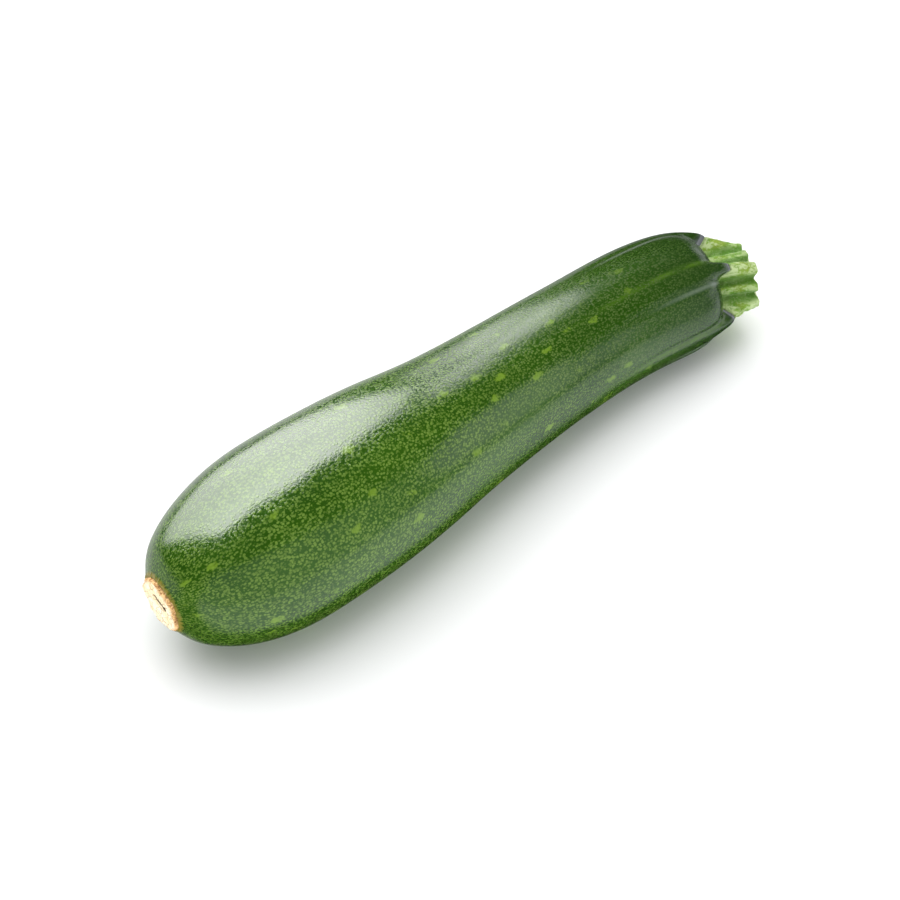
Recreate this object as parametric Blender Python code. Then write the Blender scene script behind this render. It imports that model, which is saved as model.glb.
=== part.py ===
"""A courgette lying on its side: the fruit, its cut stem and the corky scar of the blossom.

The scene is in metres, with +X along the fruit towards the stem and +Z up from the table.
The dimensions below are in millimetres and degrees.
"""

import math

import bmesh
import bpy
import numpy as np

MM = 0.001
NAME = "courgette"

# X of the middle of the whole part's box, taken off every point
BOX_MIDDLE_X = 0.5

# Middle line that the fruit and its stem are bent along, as X, Y, Z
MIDDLE_LINE = [
    (-94.5, 0.7, 19.3),
    (-72.0, -1.3, 21.5),
    (-50.0, -1.1, 22.2),
    (-15.0, 1.1, 20.9),
    (15.0, 4.7, 18.5),
    (45.0, 7.4, 16.8),
    (68.0, 7.5, 15.5),
    (84.0, 4.2, 14.9),
    (94.5, -0.1, 13.7),
]

# Outline of the fruit from the blossom end, as X and radius, down the middle of a cheek
CHEEK_OUTLINE = [
    (-93.2, 7.3),
    (-90.0, 12.4),
    (-85.0, 16.3),
    (-78.0, 19.5),
    (-68.0, 22.0),
    (-52.0, 22.8),
    (-35.0, 22.1),
    (-20.0, 20.6),
    (-8.0, 19.1),
    (5.0, 18.0),
    (25.0, 16.9),
    (50.0, 16.2),
    (67.0, 16.1),
    (76.0, 15.5),
    (80.7, 13.4),
    (82.2, 10.8),
    (81.2, 8.4),
]
# The same outline along a rib, which runs out onto the stem
RIB_END = [(81.2, 14.4), (84.4, 13.2), (85.9, 12.0)]
RIB_OUTLINE = CHEEK_OUTLINE[: -len(RIB_END)] + RIB_END

# Five ribs of the fruit, which the main ridges of the stem carry on
RIBS = 5
RIB_TURN = 124.4
RIB_HALF_WIDTH = 8.5
CREASE_TURN = 12.5
CREASE_WIDTH = 4.0
CREASE_DEPTH = 0.35
CREASE_START, CREASE_FULL = 35.0, 80.0
# How square the edges of ribs and ridges are
EDGE_POWER = 5
# Faint swelling of the whole skin in five and in ten
SWELL_FIVE = 0.15
SWELL_TEN = 0.12

# The stem end slants, shorter on the side at this turn by this much a millimetre of radius
SLANT, SLANT_TURN = 0.09, 40.0
SLANT_START, SLANT_FULL = 68.0, 88.0

# Beds that the scar and the stem sit in
SCAR_BED_X = -93.2
STEM_BED_X = 80.0
# Gap left under the scar and under the stem
BED_GAP = 0.3

# Stem, as X and radius along a main ridge, a minor ridge and a groove
MAIN_RIDGE = [(86.2, 11.7), (88.0, 10.9), (89.9, 10.0), (91.8, 9.3), (93.8, 8.7)]
MINOR_RIDGE = [(81.6, 7.8), (84.8, 7.6), (87.8, 7.7), (90.7, 7.9), (93.4, 8.1)]
GROOVE = [(81.6, 7.2), (84.8, 6.8), (87.8, 6.5), (90.4, 6.3), (92.6, 6.3)]
MAIN_RIDGE_FOOT, MAIN_RIDGE_HALF_WIDTH = 8.0, 15.0
MINOR_RIDGE_HALF_WIDTH = 12.0
CUT_X = 94.2
CUT_EDGE = 0.92
CUT_HOLLOW = 0.5

# Scar, a low corky disc with a raised rim and a hollow
SCAR_RADIUS = 7.0
SCAR_UNEVEN = [(2, 0.20, 40.0), (5, 0.30, 10.0), (7, 0.15, 75.0)]
# Fraction of the radius and height above the bed, from the middle of the face to the middle of the back
SCAR_OUTLINE = [
    (0.0, 0.9),
    (0.45, 1.2),
    (0.75, 1.5),
    (0.93, 1.6),
    (1.0, 1.3),
    (1.0, 0.7),
    (0.96, BED_GAP),
    (0.6, BED_GAP),
    (0.0, BED_GAP),
]

# Columns round each piece and rings along it
FRUIT_COLUMNS, FRUIT_RINGS = 70, 44
STEM_COLUMNS, STEM_RINGS = 70, 15
SCAR_COLUMNS = 30
STEM_BED_RINGS, CUT_RINGS = 3, 3
# How far columns gather at the ribs, and rings at both ends
COLUMN_GATHER = 0.5
RING_GATHER = 0.75

FRUIT_GREEN = (0.045, 0.13, 0.015, 1.0)
STEM_GREEN = (0.24, 0.40, 0.10, 1.0)
SCAR_CREAM = (0.70, 0.52, 0.28, 1.0)


def natural_spline(knots, values, at):
    """The smooth curve through values at knots, read at the positions in at."""
    knots = np.asarray(knots, float)
    values = np.asarray(values, float)
    steps = np.diff(knots)
    slopes = np.diff(values) / steps
    count = len(knots)
    system = np.eye(count)
    target = np.zeros(count)
    for i in range(1, count - 1):
        system[i, i - 1 : i + 2] = steps[i - 1], 2 * (steps[i - 1] + steps[i]), steps[i]
        target[i] = 6 * (slopes[i] - slopes[i - 1])
    bends = np.linalg.solve(system, target)
    at = np.asarray(at, float)
    i = np.clip(np.searchsorted(knots, at) - 1, 0, count - 2)
    before = at - knots[i]
    after = knots[i + 1] - at
    step = steps[i]
    curve = (bends[i] * after**3 + bends[i + 1] * before**3) / (6 * step)
    curve += (values[i] / step - bends[i] * step / 6) * after
    curve += (values[i + 1] / step - bends[i + 1] * step / 6) * before
    return curve


def smooth_step(start, full, at):
    t = np.clip((at - start) / (full - start), 0.0, 1.0)
    return t * t * (3 - 2 * t)


def middle(x):
    """Points of the middle line at x, each with its sideways and upward directions."""
    line = np.array(MIDDLE_LINE)

    def points(at):
        columns = [natural_spline(line[:, 0], line[:, i], at) for i in (1, 2)]
        return np.stack([at, *columns], axis=-1)

    half_step = 0.25
    along = points(x + half_step) - points(x - half_step)
    along /= np.linalg.norm(along, axis=-1, keepdims=True)
    side = np.array([0.0, 1.0, 0.0]) - along[:, 1:2] * along
    side /= np.linalg.norm(side, axis=-1, keepdims=True)
    return points(x), side, np.cross(along, side)


def placed(x, radius, turn):
    """Points at this radius and turn round the middle line, where turn 0 is +Y and 90 is +Z."""
    slant = SLANT * radius * np.cos(turn - math.radians(SLANT_TURN))
    centre, side, up = middle(x - slant * smooth_step(SLANT_START, SLANT_FULL, x))
    across = side * np.cos(turn)[:, None] + up * np.sin(turn)[:, None]
    return centre + radius[:, None] * across


def from_rib(turn):
    """Degrees from the nearest rib, either way."""
    sector = 360.0 / RIBS
    return (np.degrees(turn) - RIB_TURN + sector / 2) % sector - sector / 2


def band(away, half_width):
    """1 across a band and 0 well outside it."""
    return 1.0 / (1.0 + np.abs(away / half_width) ** EDGE_POWER)


def fruit_wall(fraction, turn):
    """X and radius of the skin at a fraction of its outline."""
    cheek = np.array(CHEEK_OUTLINE)
    rib = np.array(RIB_OUTLINE)
    lengths = np.hypot(*np.diff(cheek, axis=0).T)
    knots = np.concatenate([[0.0], np.cumsum(lengths)])
    at = fraction * knots[-1]
    away = from_rib(turn)
    on_rib = band(away, RIB_HALF_WIDTH)
    x, radius = (
        natural_spline(knots, cheek[:, i], at) * (1 - on_rib)
        + natural_spline(knots, rib[:, i], at) * on_rib
        for i in (0, 1)
    )
    crease = np.exp(-(((np.abs(away) - CREASE_TURN) / CREASE_WIDTH) ** 2))
    radius -= CREASE_DEPTH * crease * smooth_step(CREASE_START, CREASE_FULL, x)
    fade = np.sin(np.pi * fraction) ** 2
    radius += SWELL_FIVE * fade * np.cos(np.radians(RIBS * away))
    radius += SWELL_TEN * fade * np.cos(np.radians(2 * RIBS * away))
    return x, radius


def stem_bed(share, turn):
    """X and radius of the bed under the stem, at a share of its width."""
    edge_x, edge_radius = fruit_wall(np.ones_like(turn), turn)
    return STEM_BED_X + (edge_x - STEM_BED_X) * share, edge_radius * share


def column_turn(column, columns):
    """Turn of a column, with the columns gathered at the ribs."""
    sector = 2 * math.pi / RIBS
    place = (column * RIBS / columns) % 1.0
    whole = np.floor(column * RIBS / columns + 1e-9)
    gathered = place - COLUMN_GATHER * np.sin(2 * math.pi * place) / (2 * math.pi)
    return math.radians(RIB_TURN) + sector * (whole + gathered)


def gathered_ends(t):
    return t - RING_GATHER * np.sin(2 * math.pi * t) / (2 * math.pi)


def fruit_points(ring, column):
    turn = column_turn(column, FRUIT_COLUMNS)
    last_wall = FRUIT_RINGS - STEM_BED_RINGS
    fraction = gathered_ends(np.clip((ring - 1) / (last_wall - 1), 0.0, 1.0))
    x, radius = fruit_wall(fraction, turn)
    in_scar_bed = ring < 1
    x = np.where(in_scar_bed, SCAR_BED_X, x)
    radius = np.where(in_scar_bed, 0.0, radius)
    bed_x, bed_radius = stem_bed((FRUIT_RINGS - ring) / STEM_BED_RINGS, turn)
    in_stem_bed = ring > last_wall
    x = np.where(in_stem_bed, bed_x, x)
    radius = np.where(in_stem_bed, bed_radius, radius)
    points = placed(x, radius, turn)
    points[:, 2] = np.maximum(points[:, 2], 0.0)
    return points


def stem_wall(fraction, turn):
    away = from_rib(turn)
    widening = MAIN_RIDGE_HALF_WIDTH - MAIN_RIDGE_FOOT
    on_main = band(away, MAIN_RIDGE_FOOT + widening * smooth_step(0.0, 0.7, fraction))
    on_minor = band(180.0 / RIBS - np.abs(away), MINOR_RIDGE_HALF_WIDTH)
    knots = np.linspace(0.0, 1.0, len(GROOVE))
    x, radius = (
        natural_spline(knots, np.array(GROOVE)[:, i], fraction)
        * (1 - on_main)
        * (1 - on_minor)
        + natural_spline(knots, np.array(MAIN_RIDGE)[:, i], fraction) * on_main
        + natural_spline(knots, np.array(MINOR_RIDGE)[:, i], fraction)
        * on_minor
        * (1 - on_main)
        for i in (0, 1)
    )
    return x, radius


def stem_points(ring, column):
    turn = column_turn(column, STEM_COLUMNS)
    first_wall = STEM_BED_RINGS
    last_wall = STEM_RINGS - CUT_RINGS
    fraction = np.clip((ring - first_wall) / (last_wall - first_wall), 0.0, 1.0)
    x, radius = stem_wall(fraction, turn)
    foot_radius = stem_wall(np.zeros_like(turn), turn)[1]
    edge_radius = fruit_wall(np.ones_like(turn), turn)[1]
    foot_radius = np.minimum(foot_radius, edge_radius - BED_GAP)
    share = np.clip(ring / first_wall, 0.0, 1.0)
    bed_x, bed_radius = stem_bed(share * foot_radius / edge_radius, turn)
    in_foot = ring <= first_wall
    x = np.where(in_foot, bed_x + BED_GAP, x)
    radius = np.where(in_foot, bed_radius, radius)
    in_cut = ring > last_wall
    share = (STEM_RINGS - ring) / (CUT_RINGS - 1)
    x = np.where(in_cut, CUT_X - CUT_HOLLOW * (1 - share), x)
    radius = np.where(in_cut, stem_wall(np.ones_like(turn), turn)[1] * CUT_EDGE * share, radius)
    return placed(x, radius, turn)


def scar_points(ring, column):
    turn = 2 * math.pi * column / SCAR_COLUMNS
    share, height = np.array(SCAR_OUTLINE)[ring.astype(int)].T
    radius = np.full(len(turn), SCAR_RADIUS)
    for waves, size, start in SCAR_UNEVEN:
        radius += size * np.cos(waves * turn + math.radians(start))
    centre, side, up = middle(np.full(len(turn), SCAR_BED_X))
    outward = np.cross(up, side)
    across = side * np.cos(turn)[:, None] + up * np.sin(turn)[:, None]
    return centre + (radius * share)[:, None] * across + height[:, None] * outward


def material(name, colour, roughness):
    made = bpy.data.materials.new(name)
    made.use_nodes = True
    shader = made.node_tree.nodes["Principled BSDF"]
    shader.inputs["Base Color"].default_value = colour
    shader.inputs["Roughness"].default_value = roughness
    made.diffuse_color = colour
    return made


def from_sphere(name, columns, rings, points_of, outside, looks):
    """A sphere whose rings and columns are moved to where points_of puts them."""
    mesh = bpy.data.meshes.new(name)
    form = bmesh.new()
    bmesh.ops.create_uvsphere(form, u_segments=columns, v_segments=rings, radius=1.0)
    corners = np.array([vertex.co[:] for vertex in form.verts])
    ring = np.round(np.arccos(np.clip(-corners[:, 2], -1, 1)) / math.pi * rings)
    column = np.round(np.arctan2(corners[:, 1], corners[:, 0]) / (2 * math.pi) * columns) % columns
    points = points_of(ring, column) - (BOX_MIDDLE_X, 0.0, 0.0)
    for vertex, point in zip(form.verts, points * MM):
        vertex.co = point
    for face in form.faces:
        face.smooth = True
    form.to_mesh(mesh)
    form.free()
    made = bpy.data.objects.new(name, mesh)
    made.data.materials.append(looks)
    outside.objects.link(made)
    return made


def main():
    for old in list(bpy.data.objects):
        bpy.data.objects.remove(old)
    whole = bpy.data.collections.new(NAME)
    bpy.context.scene.collection.children.link(whole)
    skin = material("skin", FRUIT_GREEN, 0.3)
    flesh = material("stem_green", STEM_GREEN, 0.6)
    cork = material("cork", SCAR_CREAM, 0.85)
    from_sphere("fruit", FRUIT_COLUMNS, FRUIT_RINGS, fruit_points, whole, skin)
    from_sphere("stem", STEM_COLUMNS, STEM_RINGS, stem_points, whole, flesh)
    scar_rings = len(SCAR_OUTLINE) - 1
    from_sphere("blossom_scar", SCAR_COLUMNS, scar_rings, scar_points, whole, cork)


main()
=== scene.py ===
"""Looks of the courgette: speckled waxy skin, downy cut stem and corky blossom scar, on a white floor."""

import math

import bpy
import numpy as np
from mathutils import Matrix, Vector


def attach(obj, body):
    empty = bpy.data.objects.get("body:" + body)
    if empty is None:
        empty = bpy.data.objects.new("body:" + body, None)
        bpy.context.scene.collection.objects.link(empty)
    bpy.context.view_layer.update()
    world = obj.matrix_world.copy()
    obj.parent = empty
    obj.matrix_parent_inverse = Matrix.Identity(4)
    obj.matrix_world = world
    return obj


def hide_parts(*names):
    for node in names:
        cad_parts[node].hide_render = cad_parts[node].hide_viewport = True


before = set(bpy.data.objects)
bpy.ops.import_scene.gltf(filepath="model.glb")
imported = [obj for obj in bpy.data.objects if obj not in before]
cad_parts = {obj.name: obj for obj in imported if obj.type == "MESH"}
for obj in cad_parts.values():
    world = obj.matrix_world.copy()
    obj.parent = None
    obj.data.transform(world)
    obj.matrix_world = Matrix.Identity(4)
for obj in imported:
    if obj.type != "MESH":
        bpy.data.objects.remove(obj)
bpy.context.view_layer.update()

MM = 0.001

# The source's own dimensions, in millimetres and degrees
BOX_MIDDLE_X = 0.5
MIDDLE_LINE = [
    (-94.5, 0.7, 19.3),
    (-72.0, -1.3, 21.5),
    (-50.0, -1.1, 22.2),
    (-15.0, 1.1, 20.9),
    (15.0, 4.7, 18.5),
    (45.0, 7.4, 16.8),
    (68.0, 7.5, 15.5),
    (84.0, 4.2, 14.9),
    (94.5, -0.1, 13.7),
]
CHEEK_OUTLINE = [
    (-93.2, 7.3),
    (-90.0, 12.4),
    (-85.0, 16.3),
    (-78.0, 19.5),
    (-68.0, 22.0),
    (-52.0, 22.8),
    (-35.0, 22.1),
    (-20.0, 20.6),
    (-8.0, 19.1),
    (5.0, 18.0),
    (25.0, 16.9),
    (50.0, 16.2),
    (67.0, 16.1),
    (76.0, 15.5),
    (80.7, 13.4),
    (82.2, 10.8),
    (81.2, 8.4),
]
RIB_END = [(81.2, 14.4), (84.4, 13.2), (85.9, 12.0)]
RIB_OUTLINE = CHEEK_OUTLINE[: -len(RIB_END)] + RIB_END
RIBS = 5
RIB_TURN = 124.4
RIB_HALF_WIDTH = 8.5
CREASE_TURN = 12.5
CREASE_WIDTH = 4.0
CREASE_DEPTH = 0.35
CREASE_START, CREASE_FULL = 35.0, 80.0
EDGE_POWER = 5
SWELL_FIVE = 0.15
SWELL_TEN = 0.12
SLANT, SLANT_TURN = 0.09, 40.0
SLANT_START, SLANT_FULL = 68.0, 88.0
SCAR_BED_X = -93.2
STEM_BED_X = 80.0
MAIN_RIDGE = [(86.2, 11.7), (88.0, 10.9), (89.9, 10.0), (91.8, 9.3), (93.8, 8.7)]
MINOR_RIDGE = [(81.6, 7.8), (84.8, 7.6), (87.8, 7.7), (90.7, 7.9), (93.4, 8.1)]
GROOVE = [(81.6, 7.2), (84.8, 6.8), (87.8, 6.5), (90.4, 6.3), (92.6, 6.3)]
MAIN_RIDGE_FOOT, MAIN_RIDGE_HALF_WIDTH = 8.0, 15.0
MAIN_RIDGE_WIDE_AT = 0.7
MINOR_RIDGE_HALF_WIDTH = 12.0
CUT_X = 94.2
CUT_HOLLOW = 0.5
SCAR_RADIUS = 7.0
SCAR_UNEVEN = [(2, 0.20, 40.0), (5, 0.30, 10.0), (7, 0.15, 75.0)]

# Finer meshes of the same forms
SKIN_COLUMNS, SKIN_RINGS = 280, 322
STEM_COLUMNS, STEM_RINGS = 280, 110
SCAR_COLUMNS, SCAR_RINGS = 200, 60
BED_RINGS = 5
COLUMN_GATHER = 0.35
RING_GATHER = 0.45
# The texture is laid on a cylinder of this radius, so that its rows run together at both ends
TEXTURE_RADIUS = 19.0


def natural_spline(knots, values, at):
    """The smooth curve through values at knots, read at the positions in at."""
    knots = np.asarray(knots, float)
    values = np.asarray(values, float)
    steps = np.diff(knots)
    slopes = np.diff(values) / steps
    count = len(knots)
    system = np.eye(count)
    target = np.zeros(count)
    for i in range(1, count - 1):
        system[i, i - 1 : i + 2] = steps[i - 1], 2 * (steps[i - 1] + steps[i]), steps[i]
        target[i] = 6 * (slopes[i] - slopes[i - 1])
    bends = np.linalg.solve(system, target)
    at = np.asarray(at, float)
    i = np.clip(np.searchsorted(knots, at) - 1, 0, count - 2)
    before = at - knots[i]
    after = knots[i + 1] - at
    step = steps[i]
    curve = (bends[i] * after**3 + bends[i + 1] * before**3) / (6 * step)
    curve += (values[i] / step - bends[i] * step / 6) * after
    curve += (values[i + 1] / step - bends[i + 1] * step / 6) * before
    return curve


def smooth_step(start, full, at):
    t = np.clip((at - start) / (full - start), 0.0, 1.0)
    return t * t * (3 - 2 * t)


def bell(away, width):
    return np.exp(-((away / width) ** 2))


def middle(x):
    """Points of the middle line at x, each with its sideways and upward directions."""
    line = np.array(MIDDLE_LINE)

    def points(at):
        columns = [natural_spline(line[:, 0], line[:, i], at) for i in (1, 2)]
        return np.stack([at, *columns], axis=-1)

    half_step = 0.25
    along = points(x + half_step) - points(x - half_step)
    along /= np.linalg.norm(along, axis=-1, keepdims=True)
    side = np.array([0.0, 1.0, 0.0]) - along[:, 1:2] * along
    side /= np.linalg.norm(side, axis=-1, keepdims=True)
    return points(x), side, np.cross(along, side)


def placed(x, radius, turn):
    """Points at this radius and turn round the middle line, where turn 0 is +Y and 90 is +Z."""
    slant = SLANT * radius * np.cos(turn - math.radians(SLANT_TURN))
    centre, side, up = middle(x - slant * smooth_step(SLANT_START, SLANT_FULL, x))
    across = side * np.cos(turn)[:, None] + up * np.sin(turn)[:, None]
    return centre + radius[:, None] * across


def from_rib(turn):
    """Degrees from the nearest rib, either way."""
    sector = 360.0 / RIBS
    return (np.degrees(turn) - RIB_TURN + sector / 2) % sector - sector / 2


def band(away, half_width):
    """1 across a band and 0 well outside it."""
    return 1.0 / (1.0 + np.abs(away / half_width) ** EDGE_POWER)


def field(at, wave, seed, count=28):
    """A smooth uneven field over the points in at, mostly within -1 and 1, with waves about this long."""
    draw = np.random.default_rng(seed)
    heading = draw.normal(size=(count, at.shape[-1]))
    heading /= np.linalg.norm(heading, axis=1, keepdims=True)
    heading /= (wave * draw.uniform(0.7, 1.5, count))[:, None]
    phase = draw.uniform(0.0, 2 * math.pi, count)
    total = np.zeros(at.shape[:-1])
    for i in range(count):
        total += np.cos(2 * math.pi * (at @ heading[i]) + phase[i])
    return total * math.sqrt(0.5 / count)


def layered(at, layers):
    """The sum of several fields, each given by its wave, size and seed."""
    return sum(size * field(at, wave, seed) for wave, size, seed in layers)


def outline_knots():
    cheek = np.array(CHEEK_OUTLINE)
    return np.concatenate([[0.0], np.cumsum(np.hypot(*np.diff(cheek, axis=0).T))])


def fruit_wall(fraction, turn):
    """X and radius of the skin at a fraction of its outline, as in the source."""
    knots = outline_knots()
    at = fraction * knots[-1]
    away = from_rib(turn)
    on_rib = band(away, RIB_HALF_WIDTH)
    x, radius = (
        natural_spline(knots, np.array(CHEEK_OUTLINE)[:, i], at) * (1 - on_rib)
        + natural_spline(knots, np.array(RIB_OUTLINE)[:, i], at) * on_rib
        for i in (0, 1)
    )
    crease = CREASE_DEPTH * bell(np.abs(away) - CREASE_TURN, CREASE_WIDTH)
    radius -= crease * smooth_step(CREASE_START, CREASE_FULL, x)
    fade = np.sin(np.pi * fraction) ** 2
    radius += SWELL_FIVE * fade * np.cos(np.radians(RIBS * away))
    radius += SWELL_TEN * fade * np.cos(np.radians(2 * RIBS * away))
    return x, radius


def stem_bed(share, turn):
    edge_x, edge_radius = fruit_wall(np.ones_like(turn), turn)
    return STEM_BED_X + (edge_x - STEM_BED_X) * share, edge_radius * share


def column_turn(column, columns):
    """Turn of a column, with the columns gathered at the ribs."""
    sector = 2 * math.pi / RIBS
    place = (column * RIBS / columns) % 1.0
    whole = np.floor(column * RIBS / columns + 1e-9)
    gathered = place - COLUMN_GATHER * np.sin(2 * math.pi * place) / (2 * math.pi)
    return math.radians(RIB_TURN) + sector * (whole + gathered)


def ring_grid(rings, columns):
    """Ring and column of each point of a closed form, without its two poles."""
    ring, column = np.meshgrid(np.arange(1, rings), np.arange(columns), indexing="ij")
    return ring.ravel().astype(float), column.ravel().astype(float)


def closed_form(name, points, columns, first_pole, last_pole):
    """A closed mesh from rings of points, with a pole at each end, the first one next to the first ring."""
    rings = len(points) // columns
    corners = (np.concatenate([[first_pole], points, [last_pole]]) - (BOX_MIDDLE_X, 0.0, 0.0)) * MM
    last = len(corners) - 1
    column = np.arange(columns)
    following = (column + 1) % columns
    faces = []
    for i in range(rings - 1):
        low, high = 1 + i * columns, 1 + (i + 1) * columns
        faces += np.stack([low + column, low + following, high + following, high + column], 1).tolist()
    faces += [(0, 1 + b, 1 + a) for a, b in zip(column.tolist(), following.tolist())]
    top = 1 + (rings - 1) * columns
    faces += [(top + a, top + b, last) for a, b in zip(column.tolist(), following.tolist())]
    mesh = bpy.data.meshes.new(name)
    mesh.from_pydata(corners.tolist(), [], faces)
    mesh.polygons.foreach_set("use_smooth", [True] * len(mesh.polygons))
    made = bpy.data.objects.new(name, mesh)
    bpy.context.scene.collection.objects.link(made)
    return made


def paint(made, name, values):
    """Keeps three numbers a point on the mesh, which its material reads."""
    kept = made.data.attributes.new(name, "FLOAT_VECTOR", "POINT")
    kept.data.foreach_set("vector", np.asarray(values, np.float32).ravel())


def with_poles(values, columns):
    """The values of the rings, with the mean of the nearest ring for each pole."""
    first = values[:columns].mean(0, keepdims=True)
    last = values[-columns:].mean(0, keepdims=True)
    return np.concatenate([first, values, last])


def gathered_ends(t):
    return t - RING_GATHER * np.sin(2 * math.pi * t) / (2 * math.pi)


# Low relief of the skin, cut into the source's form
SKIN_INSET = 0.16
SKIN_RELIEF = [(34.0, 0.065, 1), (13.0, 0.022, 2)]
STREAK_RELIEF = (5.0, 0.018, 3)
STREAK_LENGTH = 9.0
# The relief fades out over this share of the outline at each end
RELIEF_FADE = 0.03
# The ragged lip round the scar: its height, its width, and how uneven it is
LIP_HEIGHT, LIP_WIDTH = 0.45, 0.7
LIP_UNEVEN = (2.2, 0.4, 4)
SCAR_BED_SHARE = 0.97

# Zones of colour, painted highlight and painted shade, by degrees from the nearest rib and by X or by
# millimetres along the skin
GREEN_LINE_TURN, GREEN_LINE_WIDTH = -9.5, 2.4
GREEN_LINE_START, GREEN_LINE_FULL = 20.0, 65.0
# The grey line by each rib is a painted highlight: reflected light along the crease, drawn into the colour
PAINTED_HIGHLIGHT_TURN, PAINTED_HIGHLIGHT_WIDTH = 15.0, 2.0
PAINTED_HIGHLIGHT_START, PAINTED_HIGHLIGHT_FULL = 48.0, 76.0
RIM_START, RIM_FULL = 3.2, 0.4
# Width of the painted shade on each rib's tip, by the stem
TIP_SHADE_HALF_WIDTH = 10.0


def make_skin():
    ring, column = ring_grid(SKIN_RINGS, SKIN_COLUMNS)
    turn = column_turn(column, SKIN_COLUMNS)
    first_wall, last_wall = BED_RINGS, SKIN_RINGS - BED_RINGS
    fraction = gathered_ends(np.clip((ring - first_wall) / (last_wall - first_wall), 0.0, 1.0))
    x, radius = fruit_wall(fraction, turn)
    length = fraction * outline_knots()[-1]
    round_at = np.stack([length, TEXTURE_RADIUS * np.cos(turn), TEXTURE_RADIUS * np.sin(turn)], 1)
    ends = smooth_step(0.0, RELIEF_FADE, fraction) * smooth_step(1.0, 1.0 - RELIEF_FADE, fraction)
    relief = -SKIN_INSET * ends
    for wave, size, seed in SKIN_RELIEF:
        relief += size * ends * field(round_at, wave, seed)
    wave, size, seed = STREAK_RELIEF
    relief += size * ends * field(round_at * (1 / STREAK_LENGTH, 1, 1), wave, seed)
    radius = radius + relief
    # A ragged lip of skin stands round the scar
    wave, size, seed = LIP_UNEVEN
    lip = bell(length, LIP_WIDTH) * (1.0 - size + size * field(round_at, wave, seed))
    x = x - LIP_HEIGHT * lip
    in_scar_bed = ring < first_wall
    share = ring / first_wall
    x = np.where(in_scar_bed, SCAR_BED_X, x)
    radius = np.where(in_scar_bed, CHEEK_OUTLINE[0][1] * share * SCAR_BED_SHARE, radius)
    bed_x, bed_radius = stem_bed((SKIN_RINGS - ring) / BED_RINGS, turn)
    in_stem_bed = ring > last_wall
    x = np.where(in_stem_bed, bed_x, x)
    radius = np.where(in_stem_bed, bed_radius, radius)
    points = placed(x, radius, turn)
    points[:, 2] = np.maximum(points[:, 2], 0.0)
    poles = placed(np.array([SCAR_BED_X, STEM_BED_X]), np.zeros(2), np.zeros(2))
    made = closed_form("courgette_skin", points, SKIN_COLUMNS, poles[0], poles[1])
    away = from_rib(turn)
    to_stem = (1.0 - fraction) * outline_knots()[-1]
    # A yellow-green line along one side of each rib, and a painted grey highlight along the other side
    green_line = bell(away - GREEN_LINE_TURN, GREEN_LINE_WIDTH)
    green_line = green_line * smooth_step(GREEN_LINE_START, GREEN_LINE_FULL, x)
    painted_highlight_line = bell(away - PAINTED_HIGHLIGHT_TURN, PAINTED_HIGHLIGHT_WIDTH)
    painted_highlight_line = painted_highlight_line * smooth_step(PAINTED_HIGHLIGHT_START, PAINTED_HIGHLIGHT_FULL, x)
    # Where the painted shade on each rib's tip lies
    on_rib = band(away, TIP_SHADE_HALF_WIDTH)
    rim = smooth_step(RIM_START, RIM_FULL, to_stem)
    paint(made, "skin_at", with_poles(round_at, SKIN_COLUMNS))
    paint(made, "skin_zone", with_poles(np.stack([green_line, painted_highlight_line, on_rib], 1), SKIN_COLUMNS))
    paint(made, "skin_end", with_poles(np.stack([to_stem, length, rim], 1), SKIN_COLUMNS))
    return made


# Relief of the stem: long fibres, lumps and grain
STEM_INSET = 0.12
STEM_FIBRES = (1.5, 0.16, 11)
STEM_LUMPS = (2.4, 0.14, 12)
STEM_GRAIN = (0.8, 0.05, 13)
STEM_STRETCH = 0.3
STEM_FADE = 0.12
# How far each ridge's paler colour reaches, and how strong it is on a narrow ridge
MAIN_TONE_HALF_WIDTH = 11.0
MINOR_TONE, MINOR_TONE_HALF_WIDTH = 0.6, 8.0
# The foot stands this far off the fruit, and stays inside its edge
FOOT_LIFT = 0.05
FOOT_LIMIT = 0.995
# The cut end, from its rim at share 1 to its middle at share 0
CUT_SHARES = 26
CUT_DROP = 0.12
CUT_EDGE_DROP = 0.05
CUT_RIM_START, CUT_RIM_FULL = 0.62, 0.97
DIP_FULL, DIP_END = 0.15, 0.85
STAR_DEPTH = 0.45
STAR_WIDTH, STAR_UNEVEN = 0.16, 0.07
CUT_ROUGHNESS = [(1.1, 0.07, 14), (0.5, 0.05, 15)]


def stem_wall(fraction, turn):
    """X and radius of the stem's side, as in the source."""
    away = from_rib(turn)
    widening = MAIN_RIDGE_HALF_WIDTH - MAIN_RIDGE_FOOT
    on_main = band(away, MAIN_RIDGE_FOOT + widening * smooth_step(0.0, MAIN_RIDGE_WIDE_AT, fraction))
    on_minor = band(180.0 / RIBS - np.abs(away), MINOR_RIDGE_HALF_WIDTH)
    knots = np.linspace(0.0, 1.0, len(GROOVE))
    x, radius = (
        natural_spline(knots, np.array(GROOVE)[:, i], fraction) * (1 - on_main) * (1 - on_minor)
        + natural_spline(knots, np.array(MAIN_RIDGE)[:, i], fraction) * on_main
        + natural_spline(knots, np.array(MINOR_RIDGE)[:, i], fraction) * on_minor * (1 - on_main)
        for i in (0, 1)
    )
    return x, radius


def stem_surface(fraction, turn):
    """Points of the stem's side with its relief, and how high each stands between groove and ridge."""
    x, radius = stem_wall(fraction, turn)
    round_at = np.stack([x, radius * np.cos(turn), radius * np.sin(turn)], 1)
    fade = smooth_step(0.0, STEM_FADE, fraction)
    relief = -STEM_INSET * fade
    wave, size, seed = STEM_FIBRES
    relief += size * fade * field(round_at * (STEM_STRETCH, 1, 1), wave, seed)
    for wave, size, seed in (STEM_LUMPS, STEM_GRAIN):
        relief += size * fade * field(round_at, wave, seed)
    away = from_rib(turn)
    on_minor = MINOR_TONE * band(180.0 / RIBS - np.abs(away), MINOR_TONE_HALF_WIDTH)
    height = np.maximum(band(away, MAIN_TONE_HALF_WIDTH), on_minor)
    return x, radius + relief, round_at, height


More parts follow.
